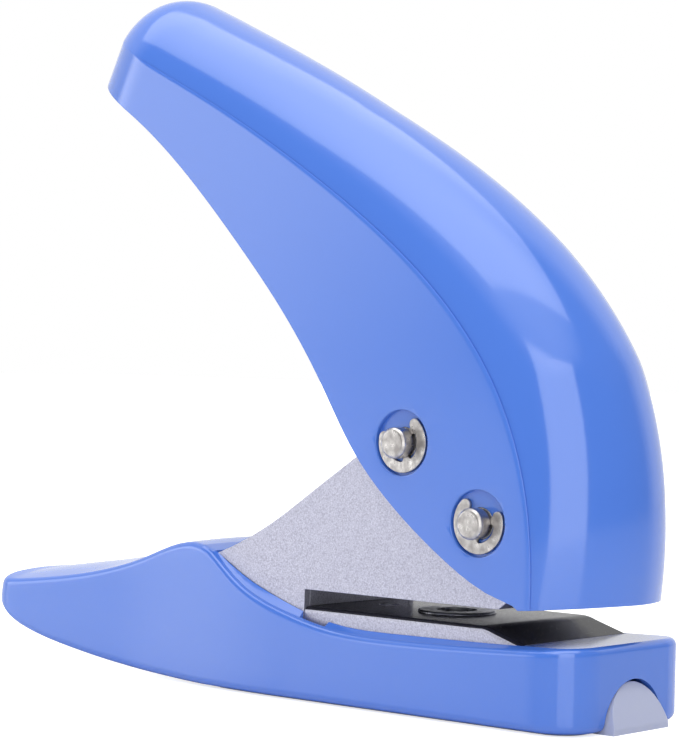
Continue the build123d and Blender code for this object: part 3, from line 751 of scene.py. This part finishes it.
# ------------------------------------------------------------------ base
@dataclass
class Base:
    """Moulded base: a crowned tail, a well for the steel frame and a chip chamber underneath."""

    rim: Sequence[Point] = ((-55.6, 13.0), (-43.8, 14.2), (-34.5, 15.9), (-25.6, 18.4),
                            (-14.6, 20.9), (-6.1, 16.2), (2.3, 13.1), (14.3, 10.8), (29.5, 10.2),
                            (43.9, 10.9), (59.8, 12.1))
    saddle: Sequence[Point] = ((-55.6, 13.0), (-43.8, 14.4), (-34.5, 16.2), (-25.6, 18.9),
                               (-11.6, 22.0), (-3.8, 18.3), (4.5, 14.9), (14.5, 12.2),
                               (27.8, 11.6), (42.5, 11.8), (59.8, 12.3))
    ridge: Sequence[Point] = ((-57.2, 14.7), (-45.6, 16.4), (-34.0, 18.2), (-24.9, 20.2),
                              (-11.6, 22.2), (-3.8, 18.3), (4.5, 14.9), (14.5, 12.2),
                              (27.8, 11.6), (42.5, 11.8), (59.8, 12.3))
    foot: Sequence[Point] = ((-61.5, 8.3), (-54.7, 5.6), (-42.5, 2.9), (-27.1, 1.0), (-12.0, 0.3))
    half: float = 15.3
    slim: float = 12.4
    rear: float = -62.0
    front: float = 59.8
    rear_corner: float = 5.5
    front_corner: float = 6.5
    waist_rear: float = -32.1
    waist_front: float = 3.9
    wall: float = 1.8
    deck: float = 10.3
    ceiling: float = 8.7
    well_half: float = 13.25
    well_rear: float = -9.2
    well_front: float = 49.8
    relief: Point = (9.2, 14.2)
    relief_width: float = 1.15
    top_round: float = 1.1
    foot_round: float = 1.3
    nose_round: float = 3.4      # the tail's end is rounded this much in height
    nose_run: float = 8.0        # over this length
    nose_middle: float = 9.6     # height of the furthest point
    arch_radius: float = 7.35    # front opening for the door's tab
    arch_depth: float = 3.6
    chip_hole: float = 5.2       # radius of the hole that the discs fall through
    edge_round: float = 0.28

    def __post_init__(self) -> None:
        """Makes the long curves and the rows of the mesh."""
        self.rim_line, self.saddle_line = Curve(self.rim), Curve(self.saddle)
        self.ridge_line, self.foot_line = Curve(self.ridge), Curve(self.foot)
        low = self.rear + self.rear_corner
        high = self.front - self.front_corner
        chamber_rear = self.well_rear - 2.2
        marks = [chamber_rear - 0.05, chamber_rear, self.well_rear - 0.03, self.well_rear,
                 self.relief[0] - 0.05, self.relief[0], self.relief[1], self.relief[1] + 0.05,
                 self.well_front, self.well_front + 0.03]
        self.chamber_rear = chamber_rear
        free = [x for x in np.linspace(low, high, 60)[1:-1] if min(abs(x - m) for m in marks) > 0.6]
        self.middle = sorted([low, *marks, *free, high])
        self.arc = 9
        self.rows = len(self.middle) + 2 * self.arc
        self.inner = 13
        self.columns = self.inner + 4
        self.levels = ([("top", k / 5) for k in range(5)] + [("wall", k / 8) for k in range(9)]
                       + [("foot", k / 5) for k in range(1, 6)] + [("lip", 0), ("ceiling", 0)])

    def plan_half(self, x: float) -> float:
        """Finds how wide the base is in plan, between its corner arcs.

        Args:
            x: where along the base, in millimetres.

        Returns:
            The half width.
        """
        if x >= self.waist_front:
            return self.half
        if x <= self.waist_rear:
            return self.slim
        share = (x - self.waist_rear) / (self.waist_front - self.waist_rear)
        return self.slim + (self.half - self.slim) * share**2 * (3 - 2 * share)

    def row(self, index: int, inset: float) -> Point:
        """Where a row lies and how wide it is.

        Args:
            index: the row, from the rear end.
            inset: how far inside the outline, in millimetres.

        Returns:
            x and the half width there.
        """
        if index < self.arc:
            radius = self.rear_corner - inset
            angle = math.pi / 2 * index / self.arc
            return (self.rear + inset + radius * (1 - math.cos(angle)),
                    self.slim - inset - radius * (1 - math.sin(angle)))
        if index >= self.rows - self.arc:
            radius = self.front_corner - inset
            angle = math.pi / 2 * (self.rows - 1 - index) / self.arc
            return (self.front - inset - radius * (1 - math.cos(angle)),
                    self.half - inset - radius * (1 - math.sin(angle)))
        x = self.middle[index - self.arc]
        return x, self.plan_half(x) - inset

    def top(self, x: float, y: float) -> float:
        """Finds the upper surface.

        Args:
            x: where along the base.
            y: where across it.

        Returns:
            Its height in millimetres.
        """
        saddle, out = self.saddle_line.height(x), abs(y)
        if out <= self.well_half:
            width = min(self.well_half, self.plan_half(x))
            crown = self.ridge_line.height(x) - saddle
            return saddle + crown * max(0.0, 1 - (out / width) ** 2)
        share = (out - self.well_half) / (self.half - self.well_half)
        return saddle + (self.rim_line.height(x) - saddle) * min(share, 1.0)

    def under(self, x: float) -> float:
        """Height of the underside's edge."""
        return self.foot_line.height(x) if x < self.foot[-1][0] else self.foot[-1][1]

    def loop_point(self, row: int, column: int, inset: float) -> tuple[float, float]:
        """Finds a grid place in plan.

        Args:
            row: the row, from the rear end.
            column: the column, from one side to the other.
            inset: how far the outline is moved in.

        Returns:
            x and y in millimetres.
        """
        x, width = self.row(row, inset)
        last = self.columns - 1
        if column in (0, last):
            return x, width if column else -width
        edge = min(self.well_half, width - 0.3)
        if self.relief[0] <= x <= self.relief[1]:
            edge = min(edge + self.relief_width, width - 0.05)
        if column in (1, last - 1):
            return x, edge + 0.03 if column > 1 else -edge - 0.03
        share = (column - 2) / (self.columns - 5) * 2 - 1
        return x, edge * share

    def in_well(self, row: int, column: int) -> bool:
        """Whether a grid place is on the well's floor."""
        x, _ = self.row(row, self.top_round)
        return (self.well_rear - 0.001 <= x <= self.well_front + 0.001
                and 2 <= column <= self.columns - 3)

    def top_place(self, row: int, column: int) -> tuple[float, float, float]:
        """Place of a vertex of the upper surface."""
        x, y = self.loop_point(row, column, self.top_round)
        return x, y, self.deck if self.in_well(row, column) else self.top(x, y)

    def under_place(self, row: int, column: int) -> tuple[float, float, float]:
        """Place of a vertex of the underside or of the chamber's ceiling."""
        x, width = self.row(row, self.wall)
        y = width * (column / (self.columns - 1) * 2 - 1)
        return x, y, self.ceiling if x >= self.chamber_rear else self.under(x)

    def ring(self) -> list[tuple[int, int]]:
        """Lists the grid places of the outline, once round.

        Returns:
            Rows and columns.
        """
        last_row, last = self.rows - 1, self.columns - 1
        return ([(row, 0) for row in range(last_row)] + [(last_row, c) for c in range(last)]
                + [(row, last) for row in range(last_row, 0, -1)]
                + [(0, c) for c in range(last, 0, -1)])

    def ribbon_place(self, place: tuple[int, int], level: int) -> tuple[float, float, float]:
        """Place of a vertex of the side wall.

        Args:
            place: the outline's row and column.
            level: 0 on the upper surface to the last, on the underside's lip.

        Returns:
            The vertex in millimetres.
        """
        row, column = place
        kind, share = self.levels[level]
        top_x, top_y = self.loop_point(row, column, self.top_round)
        if kind == "top":
            inset = self.top_round * (1 - math.sin(share * math.pi / 2))
            drop = self.top_round * (1 - math.cos(share * math.pi / 2))
        elif kind == "wall":
            inset, drop = 0.0, self.top_round
        elif kind == "foot":
            inset = self.foot_round * (1 - math.cos(share * math.pi / 2))
        else:
            inset = self.wall
        x, y = self.loop_point(row, column, inset)
        if row in (0, self.rows - 1):
            y = top_y if column not in (0, self.columns - 1) else y
        high = self.top(top_x, top_y) - self.top_round
        low = self.under(x) + self.foot_round
        if kind == "top":
            return x, y, high + self.top_round - drop
        if kind == "wall":
            return x, y, high + (low - high) * share
        if kind == "foot":
            return x, y, low - self.foot_round * math.sin(share * math.pi / 2)
        under_x, under_y, ceiling = self.under_place(row, column)
        return under_x, under_y, self.under(under_x) if kind == "lip" else ceiling

    def shell(self) -> bpy.types.Object:
        """Makes the moulding: an upper face, a lower face and the wall between them, then cut.

        Returns:
            The base with its well, chamber and front arch.
        """
        ring = self.ring()
        bm = bmesh.new()
        sheet(bm, self.rows, self.columns, self.top_place)
        sheet(bm, self.rows, self.columns, self.under_place)
        sheet(bm, len(self.levels), len(ring) + 1,
              lambda row, column: self.ribbon_place(ring[column % len(ring)], row))
        bmesh.ops.remove_doubles(bm, verts=bm.verts, dist=0.004 * MM)
        bmesh.ops.dissolve_degenerate(bm, dist=0.002 * MM, edges=bm.edges)
        bmesh.ops.recalc_face_normals(bm, faces=bm.faces)
        self.round_tail(bm)
        piece = as_object(bm, "base_moulding")
        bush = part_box("die_bush")
        punch_x = (bush[0].x + bush[1].x) / 2 / MM
        floor_cut = 2 * (self.deck - self.ceiling) + 0.4
        cut(piece, [round_bar((self.front, 0, 0), self.arch_radius, 2 * self.arch_depth, "X"),
                    round_bar((punch_x, 0, self.deck), self.chip_hole, floor_cut, "Z")])
        soften(piece, self.edge_round, 50.0, 3)
        return piece

    def round_tail(self, bm: bmesh.types.BMesh) -> None:
        """Pulls the tail's end in towards its rounded nose, seen from the side.

        Args:
            bm: the base's mesh.
        """
        for vert in bm.verts:
            x, z = vert.co.x / MM, vert.co.z / MM
            if x > self.rear + self.nose_run:
                continue
            high, low = self.top(x, 0.0), self.under(x)
            spread = (high - self.nose_middle) if z > self.nose_middle else (self.nose_middle - low)
            off = min(1.0, abs(z - self.nose_middle) / max(spread, 0.5))
            pull = (1 - math.sqrt(max(0.0, 1 - off**2))) * self.nose_round
            share = max(0.0, 1 - (x - self.rear) / self.nose_run)
            vert.co.x += pull * share**1.5 * MM

    def build(self) -> None:
        """Makes the base's moulding and dresses it."""
        hand_over(self.shell(), "base", Finish.SHELL, ["base_shell"])


# ------------------------------------------------------------------ steel work and small parts
@dataclass
class Fittings:
    """Pressed steel, pins, clips, bushes and the chip door."""

    eased: Mapping[str, float] = field(default_factory=lambda: {
        "jaw_frame": 0.15, "die_channel": 0.12, "throat_spacer": 0.1, "frame_rivets": 0.2,
        "pivot_pin": 0.12, "drive_pin": 0.12, "guide_bush": 0.15, "die_bush": 0.08,
        "punch_rod": 0.05, "punch_yoke": 0.3, "spring_washer": 0.1, "pivot_spacer": 0.15,
        "drive_sleeves": 0.15, "base_screws": 0.12, "hinge_pin": 0.1, "chip_door": 0.25})
    mouths: Mapping[str, float] = field(default_factory=lambda: {"pivot": 75.0, "drive": 110.0})
    mouth_half: float = 44.0     # half the angle that a clip leaves open
    clip_bore: float = 2.75      # radius inside a clip's ring
    clip_grip: float = 1.7       # radius where its three prongs reach into the groove
    prong_angle: float = 13.0    # a prong's half width, in degrees
    prong_offset: float = 4.0    # the outer prongs lie this far past the ears
    ear_extra: float = 0.05
    clip_thickness: float = 0.6
    lever_swing: float = 18.0    # the lever's whole swing, in degrees
    # painted shade: level faces above this share get the throat's painted shade
    level_face: float = 0.55     # a face counts as level above this share of upward

    def clip_inside(self, angle: float, first: float) -> Point:
        """Finds a point of a clip's inner edge.

        Args:
            angle: degrees from the middle of the mouth.
            first: the angle where the ring starts.

        Returns:
            The point, in millimetres from the pin's axis.
        """
        prongs = (first + self.prong_offset, 180.0, 360 - self.prong_offset - first)
        reach = max(math.exp(-((angle - prong) / self.prong_angle) ** 4) for prong in prongs)
        return polar(self.clip_bore - (self.clip_bore - self.clip_grip) * reach, angle)

    def clip_outline(self, outer: float) -> list[Point]:
        """Draws an E-shaped clip with round ears, its mouth towards the first axis.

        Args:
            outer: the clip's outer radius.

        Returns:
            Points in millimetres, once round.
        """
        ear = (outer - self.clip_bore) / 2 + self.ear_extra
        middle = outer - ear
        first = self.mouth_half + math.degrees(ear / middle)
        last = 360 - first
        round_ear = np.linspace(0, 180, 9)[1:-1]
        ring = [polar(outer, angle) for angle in np.linspace(first, last, 60)]
        x, z = polar(middle, last)
        ring += [(x + u, z + w) for u, w in (polar(ear, last + t) for t in round_ear)]
        ring += [self.clip_inside(angle, first) for angle in np.linspace(last, first, 80)]
        x, z = polar(middle, first)
        ring += [(x + u, z + w) for u, w in (polar(ear, first - t) for t in reversed(round_ear))]
        return ring

    def clip_pair(self, pin: str) -> bpy.types.Object:
        """Makes the two spring clips of one pin, as stamped from strip.

        Args:
            pin: the pin's name, a key of mouths.

        Returns:
            Both clips, one on each side.
        """
        low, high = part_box(f"{pin}_pin")
        centre = Vector(((low.x + high.x) / 2, 0, (low.z + high.z) / 2)) / MM
        clip_low, clip_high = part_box(f"{pin}_clips")
        turn = math.radians(self.mouths[pin])
        bm = bmesh.new()
        for side in (-1, 1):
            ring = []
            for x, z in self.clip_outline((clip_high.x - clip_low.x) / 2 / MM):
                across = x * math.cos(turn) - z * math.sin(turn)
                up = x * math.sin(turn) + z * math.cos(turn)
                place = centre + Vector((across, side * clip_high.y / MM, up))
                ring.append(bm.verts.new(place * MM))
            made = bmesh.ops.extrude_face_region(bm, geom=[bm.faces.new(ring)], use_keep_orig=True)
            moved = [g for g in made["geom"] if isinstance(g, bmesh.types.BMVert)]
            bmesh.ops.translate(bm, verts=moved, vec=(0, -side * self.clip_thickness * MM, 0))
        bmesh.ops.recalc_face_normals(bm, faces=bm.faces)
        piece = as_object(bm, f"{pin}_clips_stamped")
        soften(piece, 0.1, 50.0)
        return piece

    def spring(self) -> bpy.types.Object:
        """Makes the return spring as a smooth-shaded, merged copy of its frame node."""
        piece = node_copy("return_spring_wound", "return_spring")
        shade(piece)
        settle(piece)
        return piece

    def follow_lever(self, spring: bpy.types.Object) -> None:
        """Gives the finished spring a mesh of its own.

        Args:
            spring: the finished spring.
        """
        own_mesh(spring)

    def build(self) -> None:
        """Eases the edges of each part, stamps the clips and dresses them all."""
        slots = {part["node"]: Finish(part["material_slot"]) for part in frame["record"]["subparts"]}
        bodies = frame["record"]["behaviour"]["bodies"]
        home = {node: body for body, nodes in bodies.items() for node in nodes}
        for node, width in self.eased.items():
            piece = node_copy(f"{node}_eased", node)
            soften(piece, width, 35.0)
            hand_over(piece, home[node], slots[node], [node])
            # painted shade: the die channel's level faces in the throat are painted nearly black
            if node == "die_channel":
                self.paint_throat_shade(piece)
        for pin in self.mouths:
            node = f"{pin}_clips"
            hand_over(self.clip_pair(pin), home[node], slots[node], [node])
        spring = self.spring()
        hand_over(spring, home["return_spring"], slots["return_spring"], ["return_spring"])
        self.follow_lever(spring)

    def paint_throat_shade(self, piece: bpy.types.Object) -> None:
        """Paints shade on the faces of a piece that face up, where paper slides: the throat's shade,
        painted nearly black.

        Args:
            piece: the steel piece.
        """
        # painted shade: a second, nearly black material for the throat's shade
        piece.data.materials.append(PAINTED_THROAT_SHADE.material())
        # faces that face up get the painted throat shade
        for face in piece.data.polygons:
            face.material_index = int(face.normal.z > self.level_face)


# ------------------------------------------------------------------ camera, floor and light
@dataclass
class Studio:
    """Pale floor, soft boxes and the camera."""

    target: tuple[float, float, float] = (3.87, 0.0, 49.29)
    distance: float = 392.8
    azimuth: float = 40.254
    elevation: float = 0.453
    roll: float = 1.425
    lens: float = 122.4
    room_light: float = 0.27
    backdrop_light: float = 1.0
    glows: Sequence[tuple[tuple[float, float, float], float, float, float]] = (
        ((-0.78, -0.60, 0.20), 0.935, 0.99, 2.2), ((0.25, -0.30, 0.92), 0.78, 0.97, 1.1))
    floor_glow: float = 0.7
    ceiling_light: float = 0.1
    ceiling_spread: float = 95.0
    ceiling_tilt: tuple[float, float, float] = (-15.0, 10.0, 0.0)

    def camera(self) -> None:
        """Stands the camera beside the object, a little in front of it."""
        a, e, r = (math.radians(v) for v in (self.azimuth, self.elevation, self.roll))
        back = Vector((math.sin(a) * math.cos(e), -math.cos(a) * math.cos(e), math.sin(e)))
        right = Vector((math.cos(a), math.sin(a), 0))
        up = back.cross(right)
        right_turned = right * math.cos(r) + up * math.sin(r)
        up_turned = up * math.cos(r) - right * math.sin(r)
        data = bpy.data.cameras.new("camera")
        data.lens = self.lens
        data.sensor_width = 36.0
        data.clip_start, data.clip_end = 0.01, 20.0
        made = bpy.data.objects.new("camera", data)
        bpy.context.scene.collection.objects.link(made)
        place = (Vector(self.target) + back * self.distance) * MM
        made.matrix_world = Matrix.Translation(place) @ Matrix(
            (right_turned, up_turned, back)).transposed().to_4x4()
        bpy.context.scene.camera = made

    def floor(self) -> None:
        """Lays a wide pale floor under the object."""
        bm = bmesh.new()
        bmesh.ops.create_grid(bm, x_segments=1, y_segments=1, size=3.0)
        made = as_object(bm, "floor")
        material, tree, surface = new_surface("pale_floor")
        surface.inputs["Base Color"].default_value = colour("f4f4f6")
        surface.inputs["Specular IOR Level"].default_value = 0.5
        surface.inputs["Roughness"].default_value = 0.2
        surface.inputs["Emission Color"].default_value = colour("ffffff")
        seen = add_node(tree, "ShaderNodeLightPath").outputs["Is Camera Ray"]
        glow = add_node(tree, "ShaderNodeMath", {"operation": "MULTIPLY", 1: self.floor_glow}, {0: seen})
        tree.links.new(glow.outputs[0], surface.inputs["Emission Strength"])
        made.data.materials.append(material)

    def soft_box(self, name: str, place: Sequence[float], size: Point, power: float,
                 aim: Sequence[float] = (0.0, 0.0, 0.05)) -> None:
        """Hangs one soft box.

        Args:
            name: its name.
            place: its position in metres.
            size: width and height in metres.
            power: watts.
            aim: the point that it faces.
        """
        data = bpy.data.lights.new(name, "AREA")
        data.shape = "RECTANGLE"
        data.size, data.size_y = size
        data.energy = power
        made = bpy.data.objects.new(name, data)
        made.location = place
        away = Vector(place) - Vector(aim)
        made.rotation_mode = "QUATERNION"
        made.rotation_quaternion = away.to_track_quat("Z", "Y")
        bpy.context.scene.collection.objects.link(made)

    def build(self) -> None:
        """Sets up the camera, the floor and the light."""
        self.camera()
        self.floor()
        world = bpy.data.worlds.new("studio")
        world.use_nodes = True
        tree = world.node_tree
        tree.nodes["Background"].inputs["Color"].default_value = colour("ffffff")
        seen = add_node(tree, "ShaderNodeLightPath").outputs["Is Camera Ray"]
        way = add_node(tree, "ShaderNodeTexCoord").outputs["Generated"]
        behind = math.radians(self.azimuth + 10)
        facing = add_node(tree, "ShaderNodeVectorMath", {
            "operation": "DOT_PRODUCT", 1: (-math.sin(behind), math.cos(behind), 0.1)}, {0: way})
        backdrop = add_node(tree, "ShaderNodeMapRange", {1: 0.1, 2: 0.4, 3: self.room_light,
                                                         4: self.backdrop_light},
                            {0: facing.outputs["Value"]})
        total = backdrop.outputs[0]
        for toward, edge, middle, strength in self.glows:
            near = add_node(tree, "ShaderNodeVectorMath", {"operation": "DOT_PRODUCT", 1: toward},
                            {0: way})
            glow = add_node(tree, "ShaderNodeMapRange",
                            {"interpolation_type": "SMOOTHSTEP", 1: edge, 2: middle, 3: 0.0,
                             4: strength}, {0: near.outputs["Value"]})
            total = add_node(tree, "ShaderNodeMath", {}, {0: total, 1: glow.outputs[0]}).outputs[0]
        level = add_node(tree, "ShaderNodeMix", {3: 1.0}, {0: seen, 2: total})
        tree.links.new(level.outputs[0], tree.nodes["Background"].inputs["Strength"])
        bpy.context.scene.world = world
        bpy.context.scene.view_settings.view_transform = "Standard"
        ceiling = bpy.data.lights.new("ceiling", "SUN")
        ceiling.energy = self.ceiling_light
        ceiling.angle = math.radians(self.ceiling_spread)
        hung = bpy.data.objects.new("ceiling", ceiling)
        hung.rotation_euler = tuple(math.radians(v) for v in self.ceiling_tilt)
        bpy.context.scene.collection.objects.link(hung)
        self.soft_box("front_box", (0.64, -0.54, 0.3), (0.62, 0.8), 3.2)
        self.soft_box("top_box", (-0.02, -0.04, 0.9), (1.0, 0.95), 4.6)


def main() -> None:
    """Builds the punch and its studio."""
    logging.basicConfig(level=logging.INFO, format="%(name)s %(message)s")
    Studio().build()
    Handle().build()
    Base().build()
    Fittings().build()


if __name__ == "__main__":
    main()
